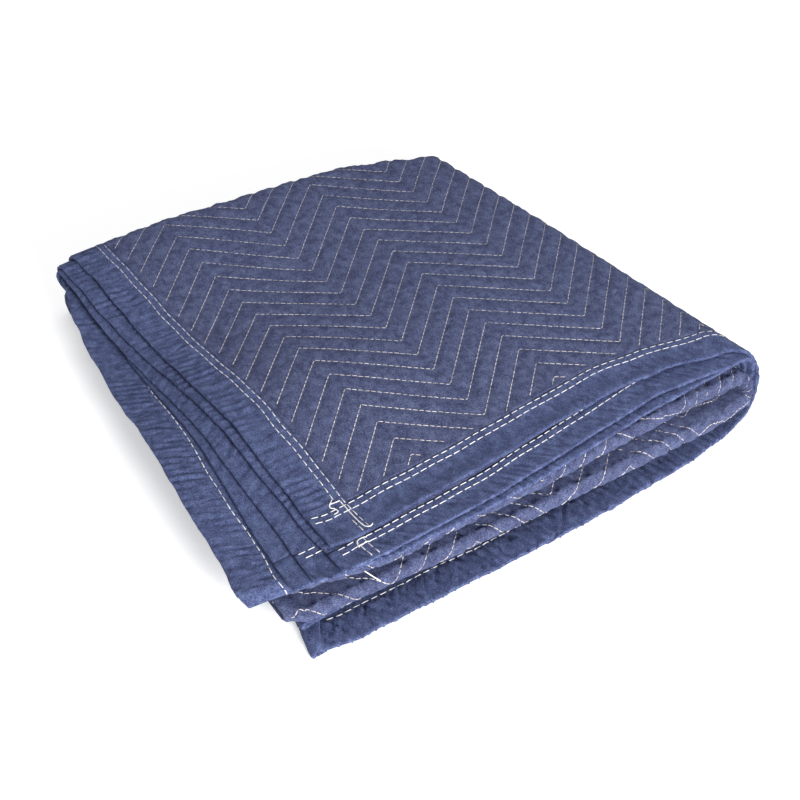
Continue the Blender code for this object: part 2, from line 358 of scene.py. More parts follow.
PUFF_HEIGHT, FINE_HEIGHT, BATTING_HEIGHT = 0.00040, 0.00026, 0.0003
INNER_FROM, INNER_OVER, INNER_LOSS = 2.6, 0.3, 0.7   # layers inside the pile are pressed flatter
RIPPLE_REACH = 0.62          # of the puckers of the front crease, in stretches from its middle
RIPPLE_LAST = 3.2            # the puckers end at this place across
SOFT_RIPPLE = 0.0005

WANDER = 0.0005              # how far hems and rows of stitches wander from their lines
TUCKS_FROM_ROW = 0.003       # a binding's tucks are full this far from its row of stitches
ROW_RIDGE, ROW_RIDGE_WIDTH = 0.00035, 0.0028
ROW_SUNK, ROW_SUNK_WIDTH = 0.00040, 0.0016
PUCKER_HEIGHT, PUCKERS_FROM_ROW = 0.00055, 0.010

# Loose stretches of the strips: strength, middle and half length of the stretch, and its fading
LOOSE = {"front": (1.0, 2.5, 0.62, 0.12), "upper": (0.45, 4.25, 0.42, 0.1)}
FAR_LOOSE, FAR_LOOSE_FROM, FAR_LOOSE_OVER = 0.55, 6.05, 0.1
FAR_LOOSE_WIDTH, FAR_LOOSE_EDGE = 0.011, 0.006
LOOSE_HEIGHT, LOOSE_PUCKER, LOOSE_RIDGE, RIDGE_WIDTH = 0.0026, 0.0005, 0.0019, 0.24
LOOSE_TUCKS, LOOSE_LOWEST = 0.8, -0.0002
LOOSE_PAST_ROW, LOOSE_FADE = 0.003, 0.008

# Open edges that stand up: how far in from the hem, by how much, and how much that changes
FRONT_LIFT = (0.018, 0.0019, 0.0008)
SIDE_LIFT = (0.016, 0.0016, 0.0004)
SECOND_LAYER_LIFT = 0.45     # the second layer's share of it
LIFT_FADE = 0.12             # it fades over this part of a stretch, toward a bend


def zigzag(x):
    """How far a zigzag line at x on the unfolded cloth is from its furthest back peak."""
    return ZIGZAG_DEPTH * np.abs((x / ZIGZAG_HALF + 1) % 2 - 1)


def line_distance(cloth):
    """Distance on the cloth to the nearest zigzag line."""
    phase = (cloth[..., 1] + zigzag(cloth[..., 0])) / LINE_SPACING
    slope = ZIGZAG_HALF / math.hypot(ZIGZAG_HALF, ZIGZAG_DEPTH)
    return np.abs((phase + 0.5) % 1 - 0.5) * LINE_SPACING * slope


def quilt_relief(cloth, s, t):
    """How far the outer face stands off its flat place: sunk at the zigzag lines, puffed between."""
    distance = line_distance(cloth)
    sunk = np.exp(-((distance / QUILT_WIDTH) ** 2))
    puff = PUFF(cloth[..., 0], cloth[..., 1])
    fine = FINE_PUFF(cloth[..., 0], cloth[..., 1])
    relief = -QUILT_DEPTH * sunk + PUFF_HEIGHT * puff * (1 - sunk) + FINE_HEIGHT * fine + BATTING_HEIGHT
    relief = relief * (1 - INNER_LOSS * smooth_step((s - INNER_FROM) / INNER_OVER))
    from_side = from_end(s) * ACROSS_SPAN
    from_front = from_end(t) * ALONG_SPAN
    along = np.where(from_side < from_front, cloth[..., 1], cloth[..., 0])
    return relief - QUILT_TUCKS(along, np.minimum(from_side, from_front)) + crease_ripple(cloth, s, t)


def crease_ripple(cloth, s, t):
    """Puckers across the front crease, strongest on the crease itself."""
    near = np.clip(1 - np.abs(t - 3.5) / RIPPLE_REACH, 0, 1) * (s < RIPPLE_LAST)
    away = (np.abs(t - 3.5) - 0.5) * ALONG_SPAN
    soft = SOFT_RIPPLE * near * CREASE_PUCKER(cloth[..., 0], cloth[..., 1])
    deep = FOLD_CREASES(cloth[..., 0], away) + FINE_CREASES(cloth[..., 0], away)
    return soft - deep * (near > 0)


def strip_width(side, position):
    """Width of a binding strip, which ends just past its second row of stitches."""
    return read_table(ROWS[side], position) + ROW_GAP + BEYOND_ROWS


def panel_insets(s, t):
    """Distance from the side hem and from the front hem to the edge of the panel."""
    side = np.where(s < 3.5, strip_width("upper", t), strip_width("lower", t))
    front = np.where(t < 3.5, strip_width("front", s), strip_width("far", s))
    return side + SEAM_GAP, front + SEAM_GAP


def fold_panel(s, t, off_middle):
    """Carry points of the panel through the folds."""
    side, front = panel_insets(s, t)
    return fold(s, side, t, front, off_middle)


def row_distance(side, position, along, row):
    """Distance from the hem to a row of stitches, 0 being the one nearer to the hem."""
    table = read_table(ROWS[side], position)
    return table + WANDER * ROW_WANDER(along, row * 0.02) + row * ROW_GAP


def band_relief(side, position, inset, along):
    """Tucks of a binding, held at its rows of stitches and free at the hem."""
    seam = read_table(ROWS[side], position)
    toward_hem = seam - inset
    tucks = SEAM_TUCKS(along, toward_hem) * smooth_step(toward_hem / TUCKS_FROM_ROW)
    between = ROW_RIDGE * np.exp(-((toward_hem + ROW_GAP / 2) / ROW_RIDGE_WIDTH) ** 2)
    first = np.exp(-((toward_hem / ROW_SUNK_WIDTH) ** 2))
    second = np.exp(-(((toward_hem + ROW_GAP) / ROW_SUNK_WIDTH) ** 2))
    sunk = ROW_SUNK * (first + second)
    soft = PUCKER_HEIGHT * PUCKER(along, inset) * smooth_step(toward_hem / PUCKERS_FROM_ROW)
    return soft + between - sunk - tucks


def loose_strength(side, position, inset):
    """How loose a place of a strip is, from 0 to 1."""
    if side in LOOSE:
        strength, middle, half, fading = LOOSE[side]
        return strength * smooth_step((half - np.abs(position - middle)) / fading)
    if side == "far":
        strength = FAR_LOOSE * smooth_step((position - FAR_LOOSE_FROM) / FAR_LOOSE_OVER)
        return strength * smooth_step((FAR_LOOSE_WIDTH - inset) / FAR_LOOSE_EDGE)
    return np.zeros(np.shape(position))


def loose_relief(side, position, inset, along):
    """How far a loose stretch of a strip lifts off the layer that it lies on."""
    toward_hem = read_table(ROWS[side], position) - inset
    tucks = DEEP_TUCKS(along, toward_hem) + SHORT_TUCKS(along, toward_hem)
    ridge = np.maximum(1 - np.abs(CRUMPLE(along, inset)) / RIDGE_WIDTH, 0) ** 2
    height = LOOSE_HEIGHT + LOOSE_PUCKER * PUCKER(along, inset) - LOOSE_RIDGE * ridge
    free = smooth_step((toward_hem + LOOSE_PAST_ROW) / LOOSE_FADE)
    strength = loose_strength(side, position, inset)
    return strength * free * np.maximum(height - LOOSE_TUCKS * tucks, LOOSE_LOWEST)


def hem_lift(s, from_side, t, from_front, cloth):
    """How far the open edges of the two top layers stand up, from the distances to both hems."""
    layer = np.where(t < 1, np.where(s < 1, 1.0, np.where(s > 6, SECOND_LAYER_LIFT, 0.0)), 0.0)
    reach, height, change = FRONT_LIFT
    front = smooth_step(1 - from_front / reach) * (height + change * LIFT(cloth[..., 0], 0.0))
    reach, height, change = SIDE_LIFT
    side = smooth_step(1 - from_side / reach) * (height + change * LIFT(cloth[..., 1], 0.1))
    fade_across = smooth_step((1 - from_end(s)) / LIFT_FADE)
    fade_along = smooth_step((1 - from_end(t)) / LIFT_FADE)
    return layer * np.maximum(front, side) * (fade_across * fade_along)


# ---- meshes
def make_mesh(name, points, polygons, cloth, material):
    """A shaded mesh object with places on the cloth, in metres, as its UV map."""
    mesh = bpy.data.meshes.new(name)
    mesh.from_pydata(points.tolist(), [], polygons)
    layer = mesh.uv_layers.new(name="cloth")
    corners = np.empty(len(mesh.loops), dtype=np.int32)
    mesh.loops.foreach_get("vertex_index", corners)
    layer.data.foreach_set("uv", cloth[corners].astype(np.float32).ravel())
    mesh.materials.append(material)
    mesh.shade_smooth()
    mesh.validate()
    return add_object(name, mesh)


# Lattice steps in each stretch of the panel
PANEL_ACROSS = (42, 11, 40, 3, 8, 4, 8)
PANEL_ALONG = (40, 5, 12, 2, 14, 3, 10)
FINEST = 3                   # most times that a lattice cell is halved
RIM_FADE = 0.012             # the panel's relief fades over this part of a stretch at its rim


def lattice(steps):
    """Positions of lattice lines in one direction, from the steps in each stretch."""
    lines = [stretch + step / count for stretch, count in enumerate(steps) for step in range(count)]
    return np.array(lines + [7.0])


def panel_level(s, t):
    """How many times a base cell of the outer face is halved, from the middle of the cell."""
    if s < 3 and abs(t - 3.5) < 0.56:
        return 3
    if s < 2 and t < 2:
        return 2
    if (s < 3 and t < 2) or (s < 4 and 2.6 < t < 4.6):
        return 1
    return 0


def refined_grid(columns, rows):
    """Cells of a lattice, halved as panel_level says, as corner indices in finest steps.

    A cell beside a finer one takes the extra points on their common edge, so no gap opens.
    """
    fine = 2 ** FINEST
    cells = []
    corners = {}
    for i in range(len(columns) - 1):
        for j in range(len(rows) - 1):
            middle_s = (columns[i] + columns[i + 1]) / 2
            middle_t = (rows[j] + rows[j + 1]) / 2
            step = fine >> panel_level(middle_s, middle_t)
            for a in range(i * fine, (i + 1) * fine, step):
                for b in range(j * fine, (j + 1) * fine, step):
                    cells.append((a, b, step))
                    for corner in ((a, b), (a + step, b), (a + step, b + step), (a, b + step)):
                        corners.setdefault(corner, len(corners))
    polygons = []
    for a, b, step in cells:
        loop = [(a + k, b) for k in range(step)]
        loop += [(a + step, b + k) for k in range(step)]
        loop += [(a + step - k, b + step) for k in range(step)]
        loop += [(a, b + step - k) for k in range(step)]
        polygons.append([corners[c] for c in loop if c in corners])
    return corners, polygons


def make_panel(material):
    """The quilted sheet: a fine outer face, a coarse inner face and the walls between them."""
    columns, rows = lattice(PANEL_ACROSS), lattice(PANEL_ALONG)
    fine = 2 ** FINEST
    corners, polygons = refined_grid(columns, rows)
    places = np.array(list(corners.keys())) / fine
    s = np.interp(places[:, 0], np.arange(len(columns)), columns)
    t = np.interp(places[:, 1], np.arange(len(rows)), rows)
    _, cloth = fold_panel(s, t, 0.0)
    seam = np.minimum(from_end(s), from_end(t))
    relief = quilt_relief(cloth, s, t) * smooth_step(seam / RIM_FADE)
    outer, _ = fold_panel(s, t, THICKNESS / 2 + relief)

    grid_s, grid_t = np.meshgrid(columns, rows, indexing="ij")
    ripple = crease_ripple(fold_panel(grid_s, grid_t, 0.0)[1], grid_s, grid_t)
    inner, inner_cloth = fold_panel(grid_s, grid_t, -THICKNESS / 2 + 0.5 * ripple)
    first = len(outer)
    height = len(rows)

    def inner_index(i, j):
        return first + i * height + j

    for i in range(len(columns) - 1):
        for j in range(height - 1):
            polygons.append([inner_index(i, j), inner_index(i, j + 1),
                             inner_index(i + 1, j + 1), inner_index(i + 1, j)])
    polygons += edge_walls(corners, len(columns) - 1, height - 1, fine, inner_index)
    points = np.concatenate([outer, inner.reshape(-1, 3)])
    places = np.concatenate([cloth, inner_cloth.reshape(-1, 2)])
    return make_mesh("quilted_sheet", points, polygons, places, material)


def edge_walls(corners, last_i, last_j, fine, inner_index):
    """One polygon a base cell round the rim, with the outer face's extra points."""
    walls = []
    for i in range(last_i):
        for j, forward in ((0, True), (last_j, False)):
            run = [(i * fine + k, j * fine) for k in range(fine + 1)]
            walls.append(wall(run, corners, inner_index(i, j), inner_index(i + 1, j), forward))
    for j in range(last_j):
        for i, forward in ((0, False), (last_i, True)):
            run = [(i * fine, j * fine + k) for k in range(fine + 1)]
            walls.append(wall(run, corners, inner_index(i, j), inner_index(i, j + 1), forward))
    return walls


def wall(run, corners, start, end, forward):
    loop = [start, end] + [corners[c] for c in reversed(run) if c in corners]
    return loop if forward else loop[::-1]


# Lattice steps of each strip in each stretch along its hem, finer where it shows
STRIP_STEPS = {
    "front": (520, 60, 560, 12, 60, 40, 420),
    "far": (200, 20, 60, 12, 60, 40, 420),
    "upper": (560, 20, 60, 12, 420, 10, 60),
    "lower": (420, 12, 60, 12, 60, 16, 320),
}
NOSE_DEPTH = 0.85            # of a strip's rounded hem, in half thicknesses
LIP, LIP_SHARE = 0.0005, 0.72   # the strip's inner edge thins to this share of its thickness
PROFILE_STEPS = 13


def strip_run(side):
    """Places along a strip. A side strip fits between the strips at the front."""
    run = lattice(STRIP_STEPS[side])
    if side in ("front", "far"):
        return run
    end = 0.0 if side == "upper" else 7.0
    first = (strip_width("front", end) + SEAM_GAP) / ALONG_SPAN
    last = 7 - (strip_width("far", end) + SEAM_GAP) / ALONG_SPAN
    return np.concatenate([[first], run[(run > first) & (run < last)], [last]])


def binding_profile():
    """Cross-section of a binding strip, as rows of (distance from hem, share of half thickness)."""
    depth = BINDING_THICKNESS / 2 * NOSE_DEPTH
    nose = [(depth * (1 - math.cos(a)), math.sin(a)) for a in np.linspace(0, math.pi / 2, 5)]
    steps = np.linspace(nose[-1][0], BINDING_WIDTH - LIP, PROFILE_STEPS)[1:]
    upper = nose + [(d, 1.0) for d in steps] + [(BINDING_WIDTH, LIP_SHARE)]
    return upper + [(d, -share) for d, share in reversed(upper[1:])]


def make_strip(name, side, material):
    """One binding strip along a hem: side is "front", "far", "upper" or "lower"."""
    run = strip_run(side)
    profile = np.array(binding_profile())
    distance, share = profile[:, 0], profile[:, 1]
    count, around = len(run), len(profile)
    position, inset = np.meshgrid(run, distance, indexing="ij")
    inset = inset * strip_width(side, position) / BINDING_WIDTH
    flat_share = np.broadcast_to(share, position.shape)
    points, cloth = strip_points(side, position, inset, flat_share * BINDING_THICKNESS / 2)
    index = np.arange(count * around).reshape(count, around)
    polygons = []
    for near, next_ring in zip(index.tolist(), index[1:].tolist()):
        for k in range(around):
            n = (k + 1) % around
            polygons.append([near[k], near[n], next_ring[n], next_ring[k]])
    polygons.append([int(v) for v in index[0][::-1]])
    polygons.append([int(v) for v in index[-1]])
    if side in ("far", "upper"):
        polygons = [p[::-1] for p in polygons]
    along = along_hem(side, cloth)
    places = np.stack([along, inset], axis=-1)
    return make_mesh(name, points.reshape(-1, 3), polygons, places.reshape(-1, 2), material)


def strip_points(side, position, inset, off_middle):
    """Points of a binding strip, with its tucks, from places along the hem and in from it."""
    s, s_inset, t, t_inset = strip_place(side, position, inset)
    _, cloth = fold(s, s_inset, t, t_inset, 0.0)
    along = along_hem(side, cloth)
    relief = np.sign(off_middle) * band_relief(side, position, inset, along)
    from_side = s_inset + from_end(s) * ACROSS_SPAN
    from_front = t_inset + from_end(t) * ALONG_SPAN
    lift = loose_relief(side, position, inset, along) + hem_lift(s, from_side, t, from_front, cloth)
    relief = relief + up_sign(s, t) * lift
    wander = WANDER * HEM_WANDER(along, 0.0) * (1 - inset / BINDING_WIDTH)
    if side in ("front", "far"):
        t_inset = t_inset + wander
    else:
        s_inset = s_inset + wander
    return fold(s, s_inset, t, t_inset, off_middle + relief)[0], cloth


def along_hem(side, cloth):
    return cloth[..., 0] if side in ("front", "far") else cloth[..., 1]


def strip_place(side, position, inset):
    """Lattice place of a point of a strip, by the hem that it is on."""
    end = np.full(np.shape(position), 7.0 if side in ("far", "lower") else 0.0)
    none = np.zeros(np.shape(position))
    if side in ("front", "far"):
        return position, none, end, inset
    return end, inset, position, none


def up_sign(s, t):
    """1 where the outer side of the cloth faces up in the pile, -1 where it faces down."""
    sign = np.where(s < 3.5, 1.0, -1.0) * np.where(t < 3.5, 1.0, -1.0)
    sign = sign * np.where((t > 1.5) & (t < 5.5), -1.0, 1.0)
    return sign * np.where((s > 1.5) & (s < 5.5), -1.0, 1.0)


# ---- materials
def new_material(name, colour, roughness, sheen=0.0):
    material = bpy.data.materials.new(name)
    material.use_nodes = True
    shader = material.node_tree.nodes["Principled BSDF"]
    values = {"Base Color": (*colour, 1), "Roughness": roughness, "Specular IOR Level": 0.15,
              "Sheen Weight": sheen, "Sheen Roughness": 0.4, "Sheen Tint": (0.40, 0.52, 1.0, 1)}
    for socket, value in values.items():
        shader.inputs[socket].default_value = value
    return material, material.node_tree, shader


def object_place(tree):
    return tree.nodes.new("ShaderNodeTexCoord").outputs["Object"]


def noise_node(tree, vector, scale, detail, roughness=0.6):
    node = tree.nodes.new("ShaderNodeTexNoise")
    node.inputs["Scale"].default_value = scale
    node.inputs["Detail"].default_value = detail
    node.inputs["Roughness"].default_value = roughness
    tree.links.new(vector, node.inputs["Vector"])
    return node.outputs["Fac"]


def ramp_node(tree, value, stops):
    node = tree.nodes.new("ShaderNodeValToRGB")
    ramp = node.color_ramp
    while len(ramp.elements) < len(stops):
        ramp.elements.new(0.5)
    for element, (place, colour) in zip(ramp.elements, stops):
        element.position = place
        element.color = (*colour, 1)
    tree.links.new(value, node.inputs["Fac"])
    return node.outputs["Color"]


def math_node(tree, operation, first, second):
    node = tree.nodes.new("ShaderNodeMath")
    node.operation = operation
    for socket, value in zip(node.inputs, (first, second)):
        if isinstance(value, (int, float)):
            socket.default_value = value
        else:
            tree.links.new(value, socket)
    return node.outputs["Value"]


def weighted_sum(tree, parts):
    """The sum of sockets, given as pairs of (socket, weight)."""
    total = None
    for socket, weight in parts:
        part = math_node(tree, "MULTIPLY", socket, weight)
        total = part if total is None else math_node(tree, "ADD", total, part)
    return total


def stretched(tree, vector, scale, angle):
    """The UV vector turned by an angle and scaled along its second direction."""
    node = tree.nodes.new("ShaderNodeMapping")
    node.inputs["Scale"].default_value = (1.0, scale, 1.0)
    node.inputs["Rotation"].default_value = (0.0, 0.0, angle)
    tree.links.new(vector, node.inputs["Vector"])
    return node.outputs["Vector"]


def cloth_material(name, dark, middle, light, sheen, wrinkles=0.0):
    """Needled non-woven cloth: clumps, a fine fibre grain along one direction, and a felted bump.

    A binding's UV runs along its hem and in from it, and its wrinkles run across the hem.
    """
    material, tree, shader = new_material(name, middle, 0.86, sheen)
    place = object_place(tree)
    cloth = tree.nodes.new("ShaderNodeUVMap")
    cloth.uv_map = "cloth"
    clumps = noise_node(tree, place, 130, 3)
    grain = noise_node(tree, place, 950, 3, 0.75)
    fibres = noise_node(tree, stretched(tree, cloth.outputs["UV"], 5.0, 0.35), 520, 3, 0.7)
    tone = weighted_sum(tree, ((clumps, 0.22), (grain, 0.43), (fibres, 0.35)))
    colour = ramp_node(tree, tone, ((0.42, dark), (0.49, middle), (0.58, light)))
    tree.links.new(colour, shader.inputs["Base Color"])
    bump = tree.nodes.new("ShaderNodeBump")
    bump.inputs["Strength"].default_value = 0.8
    bump.inputs["Distance"].default_value = 0.0010
    relief = [(grain, 0.7), (fibres, 1.0)]
    if wrinkles:
        lines = noise_node(tree, stretched(tree, cloth.outputs["UV"], 0.24, 0.20), 210, 3, 0.55)
        relief.append((lines, wrinkles))
    tree.links.new(weighted_sum(tree, relief), bump.inputs["Height"])
    tree.links.new(bump.outputs["Normal"], shader.inputs["Normal"])
    return material


def thread_material(name, dark, light):
    material, tree, shader = new_material(name, light, 0.6)
    place = object_place(tree)
    tone = noise_node(tree, place, 160, 2)
    colour = ramp_node(tree, tone, ((0.35, dark), (0.62, light)))
    tree.links.new(colour, shader.inputs["Base Color"])
    return material


def floor_material():
    """A pale floor lit a little from below, as a light table is, so that shadows on it stay soft."""
    material, tree, shader = new_material("pale_floor", (0.80, 0.80, 0.80), 0.7)
    shader.inputs["Emission Color"].default_value = (1, 1, 1, 1)
    shader.inputs["Emission Strength"].default_value = FLOOR_GLOW
    place = object_place(tree)
    tone = noise_node(tree, place, 3, 2)
    colour = ramp_node(tree, tone, ((0.3, (0.795, 0.795, 0.795)), (0.7, (0.805, 0.805, 0.805))))
    tree.links.new(colour, shader.inputs["Base Color"])
    return material


# ---- sewing thread
# Rings of a stitch: share of its length, lift and size of the ring in thread radii
DASH_RINGS = ((0.0, -0.8, 0.6), (0.13, 0.45, 1.0), (0.5, 0.65, 1.0), (0.87, 0.45, 1.0), (1.0, -0.8, 0.6))
DASH_SIDES = 4
TUBE_SIDES = 6
UP_STEP = 0.001              # between two points that show the upward direction of a stitch
PATH_STEP = 0.0008           # between points of a loose thread
LAID_HEIGHT = 0.8            # of a laid thread's middle over the cloth, in radii
RAY_START, RAY_REACH = 0.0012, 0.5
RAYS_ROUND, LOW_RAY = 8, 0.3
STRAY_FROM, STRAY_OVER = 0.002, 0.005   # quilting lines end between these distances from a binding
LAST_QUILTED = 3.9           # no stitch further across than this shows


def dash_geometry(starts, middles, ends, ups, radius):
    """Stitches as short threads over three points, which dip into the cloth at both ends."""
    side = unit(np.cross(unit(ends - starts), ups))
    points = []
    for place, lift, share in DASH_RINGS:
        centre = starts * (1 - place) * (1 - 2 * place) + ends * place * (2 * place - 1)
        centre = centre + middles * 4 * place * (1 - place) + ups * lift * radius
        for k in range(DASH_SIDES):
            angle = 2 * math.pi * k / DASH_SIDES
            points.append(centre + radius * share * (side * math.cos(angle) + ups * math.sin(angle)))
    per = len(DASH_RINGS) * DASH_SIDES
    points = np.stack(points, axis=1).reshape(-1, 3)
    faces = []
    for base in range(0, len(starts) * per, per):
        for ring in range(len(DASH_RINGS) - 1):
            a = base + ring * DASH_SIDES
            for k in range(DASH_SIDES):
                n = (k + 1) % DASH_SIDES
                faces.append((a + n, a + k, a + k + DASH_SIDES, a + n + DASH_SIDES))
        faces.append(tuple(base + k for k in range(DASH_SIDES)))
        faces.append(tuple(base + per - 1 - k for k in range(DASH_SIDES)))
    return points, faces


def visible(points, normals, tree):
    """Which points are not covered: some ray from just above them leaves the pile."""
    keep = np.zeros(len(points), dtype=bool)
    for index, (point, normal) in enumerate(zip(points, normals)):
        normal = Vector(normal)
        start = Vector(point) + normal * RAY_START
        tangent = normal.orthogonal().normalized()
        other = normal.cross(tangent)
        rays = [normal]
        for k in range(RAYS_ROUND):
            angle = 2 * math.pi * k / RAYS_ROUND
            flat = tangent * math.cos(angle) + other * math.sin(angle)
            rays += [normal + flat, normal * LOW_RAY + flat]
        keep[index] = any(tree.ray_cast(start, ray.normalized(), RAY_REACH)[0] is None for ray in rays)
    return keep


def walk(points, pitch, dash):
    """Start and end, as fractional indices, of dashes laid end to end with gaps along a polyline."""
    reach = reach_along(points)
    starts = np.arange(0, reach[-1] - dash, pitch)
    index = np.arange(len(points))
    return np.interp(starts, reach, index), np.interp(starts + dash, reach, index)


def sample(points, index):
    """Points at fractional indices of a polyline."""
    low = np.clip(index.astype(int), 0, len(points) - 2)
    share = (index - low)[:, None]
    return points[low] * (1 - share) + points[low + 1] * share


def binding_stitches(side):
    """Both rows of a strip, on both of its faces, out to the hems that it meets."""
    pieces = []
    run = np.clip(lattice(STRIP_STEPS[side]), FAR_SEWN_FROM if side == "far" else ROW_END, 7 - ROW_END)
    for row in (0, 1):
        cloth = fold(*strip_place(side, run, NEAR_ROW), 0.0)[1]
        inset = row_distance(side, run, along_hem(side, cloth), row)
        for face in (1.0, -1.0):
            surface = face * BINDING_THICKNESS / 2
            low, _ = strip_points(side, run, inset, surface)
            high, _ = strip_points(side, run, inset, surface + face * UP_STEP)
            skip = UPPER_ROW_BREAK if side == "upper" and row == 0 and face > 0 else None
            pieces.append(dashes_on(low, high, BINDING_PITCH, BINDING_DASH, skip))
    return pieces


def dashes_on(low, high, pitch, dash, skip=None):
    """Ends and upward directions of the dashes of one row; skip is a stretch from its start, in metres."""
    start, end = walk(low, pitch, dash)
    if skip:
        middle = np.interp((start + end) / 2, np.arange(len(low)), reach_along(low))
        kept = (middle < skip[0]) | (middle > skip[1])
        start, end = start[kept], end[kept]
    up = unit(sample(high - low, (start + end) / 2))
    return sample(low, start), sample(low, (start + end) / 2), sample(low, end), up


ZIGZAG_COLUMNS = (-3, 26)    # half zigzags and lines that cover the unfolded cloth
ZIGZAG_LINES = (-48, 44)
ZIGZAG_STEP = 0.002


def zigzag_runs():
    """Zigzag lines on the unfolded cloth, sampled finely, one after the other."""
    x = np.arange(ZIGZAG_COLUMNS[0] * ZIGZAG_HALF, ZIGZAG_COLUMNS[1] * ZIGZAG_HALF, ZIGZAG_STEP)
    for line in range(*ZIGZAG_LINES):
        yield x, -line * LINE_SPACING - zigzag(x)


def cloth_lookup():
    """A fine lattice of the panel, as far across as it shows, with its places on the cloth."""
    s = lattice((130, 40, 120, 12, 2, 2, 2))
    t = lattice((130, 24, 110, 24, 110, 10, 90))
    s = s[s <= 4.0]
    grid_s, grid_t = np.meshgrid(s, t, indexing="ij")
    _, cloth = fold_panel(grid_s, grid_t, 0.0)
    return s, t, cloth


def read_off(lines, places, table, other_lines, wanted):
    """Places in the other direction, each read along the lattice line that is next to its place."""
    nearest = np.clip(np.searchsorted(lines, places), 0, len(lines) - 1)
    found = np.empty(places.shape)
    for index in np.unique(nearest):
        chosen = nearest == index
        found[chosen] = np.interp(wanted[chosen], table[index], other_lines, left=-1, right=9)
    return found


def place_on_cloth(x, y, lookup):
    """Lattice places of points of the unfolded cloth; lattice rows are nearly level, so this settles."""
    s_lines, t_lines, cloth = lookup
    middle = len(t_lines) // 3
    s = np.interp(x, cloth[:, middle, 0], s_lines)
    for _ in range(SETTLING_ROUNDS):
        t = read_off(s_lines, s, cloth[..., 1], t_lines, y)
        s = read_off(t_lines, t, cloth[..., 0].T, s_lines, x)
    return s, t


def quilting_stitches():
    """Stitches of all the zigzag lines, where the lines lie on the panel."""
    lookup = cloth_lookup()
    random = np.random.default_rng(SEED + 20)
    pieces = []
    for x, y in zigzag_runs():
        s, t = place_on_cloth(x, y, lookup)
        margin = STRAY_FROM + STRAY_OVER * random.random()
        seam = np.minimum(s * ACROSS_SPAN, from_end(t) * ALONG_SPAN)
        inside = (seam > margin) & (s < LAST_QUILTED)
        edges = np.flatnonzero(np.diff(np.concatenate([[0], inside.astype(int), [0]])))
        for first, last in zip(edges[::2], edges[1::2]):
            if last - first < 4:
                continue
            part_s, part_t = s[first:last], t[first:last]
            _, cloth = fold_panel(part_s, part_t, 0.0)
            relief = THICKNESS / 2 + quilt_relief(cloth, part_s, part_t)
            low, _ = fold_panel(part_s, part_t, relief)
            high, _ = fold_panel(part_s, part_t, relief + UP_STEP)
            pieces.append(dashes_on(low, high, QUILT_PITCH, QUILT_DASH))
    return pieces


def make_thread(name, pieces, tree, radius, material, paths=()):
    """Stitches that can be seen, and knots, loops and tails along the paths, as one joined mesh."""
    starts, middles, ends, ups = (np.concatenate(column) for column in zip(*pieces))
    keep = visible(middles, ups, tree) & (np.linalg.norm(ends - starts, axis=1) > SHORTEST_DASH)
    starts, middles, ends, ups = starts[keep], middles[keep], ends[keep], ups[keep]
    sunk = smooth_step((middles[:, :1] - THIN_FROM) / THIN_OVER + middles[:, 1:2] / THIN_OVER)
    points, faces = dash_geometry(starts, middles, ends, ups, radius * (1 - THINNED * sunk))
    for path in paths:
        tube_points, tube_faces = tube_geometry(path, radius * 1.1)
        faces += [tuple(len(points) + v for v in face) for face in tube_faces]
        points = np.concatenate([points, tube_points])
    points[:, 2] = np.maximum(points[:, 2], FLOOR_GAP / 2)
    return make_mesh(name, points, faces, np.zeros((len(points), 2)), material)


def tube_geometry(path, radius):
    """A thread along a path of points, closed at both ends."""
    direction = unit(np.gradient(path, axis=0))
    side = unit(np.cross(direction, (0.0, 0.0, 1.0)))
    over = np.cross(side, direction)
    rings = []
    for k in range(TUBE_SIDES):
        angle = 2 * math.pi * k / TUBE_SIDES
        rings.append(path + radius * (side * math.cos(angle) + over * math.sin(angle)))
    points = np.stack(rings, axis=1).reshape(-1, 3)
    faces = []
    for a in range(0, len(points) - TUBE_SIDES, TUBE_SIDES):
        for k in range(TUBE_SIDES):
            n = (k + 1) % TUBE_SIDES
            faces.append((a + k, a + n, a + n + TUBE_SIDES, a + k + TUBE_SIDES))
    faces.append(tuple(range(TUBE_SIDES))[::-1])
    faces.append(tuple(len(points) - TUBE_SIDES + k for k in range(TUBE_SIDES)))
    return points, faces


def smooth_path(points):
    """Evenly spaced points along a smooth curve through a few points."""
    points = np.asarray(points, dtype=float)
    reach = reach_along(points)
    places = np.arange(0, reach[-1], PATH_STEP)
    slopes = np.gradient(points, reach, axis=0)
    index = np.clip(np.searchsorted(reach, places, side="right") - 1, 0, len(points) - 2)
    span = (reach[index + 1] - reach[index])[:, None]
    f = ((places - reach[index]) / span[:, 0])[:, None]
    level = (2 * f**3 - 3 * f**2 + 1) * points[index] + (3 * f**2 - 2 * f**3) * points[index + 1]
    return level + span * ((f**3 - 2 * f**2 + f) * slopes[index] + (f**3 - f**2) * slopes[index + 1])


def laid_path(plan, tree):
    """A thread laid on the pile along a few plan places, with its height from the cloth under it."""
    flat = smooth_path(plan)
    points = []
    for x, y in flat:
        x, y = x - PILE_CENTRE[0], y - PILE_CENTRE[1]
        hit = tree.ray_cast(Vector((x, y, 0.2)), Vector((0, 0, -1)))[0]
        points.append((x, y, hit.z if hit else points[-1][2]))
    points = np.array(points)
    points[:, 2] = np.convolve(np.pad(points[:, 2], 2, mode="edge"), np.ones(5) / 5, mode="valid")
    points[:, 2] += BINDING_THREAD * LAID_HEIGHT
    return points


def surface_tree(items):
    """One tree of all the faces of these objects."""
    points, polygons = [], []
    for item in items:
        base = len(points)
        points += [vertex.co.copy() for vertex in item.data.vertices]
        polygons += [[base + v for v in polygon.vertices] for polygon in item.data.polygons]
    return BVHTree.FromPolygons(points, polygons)


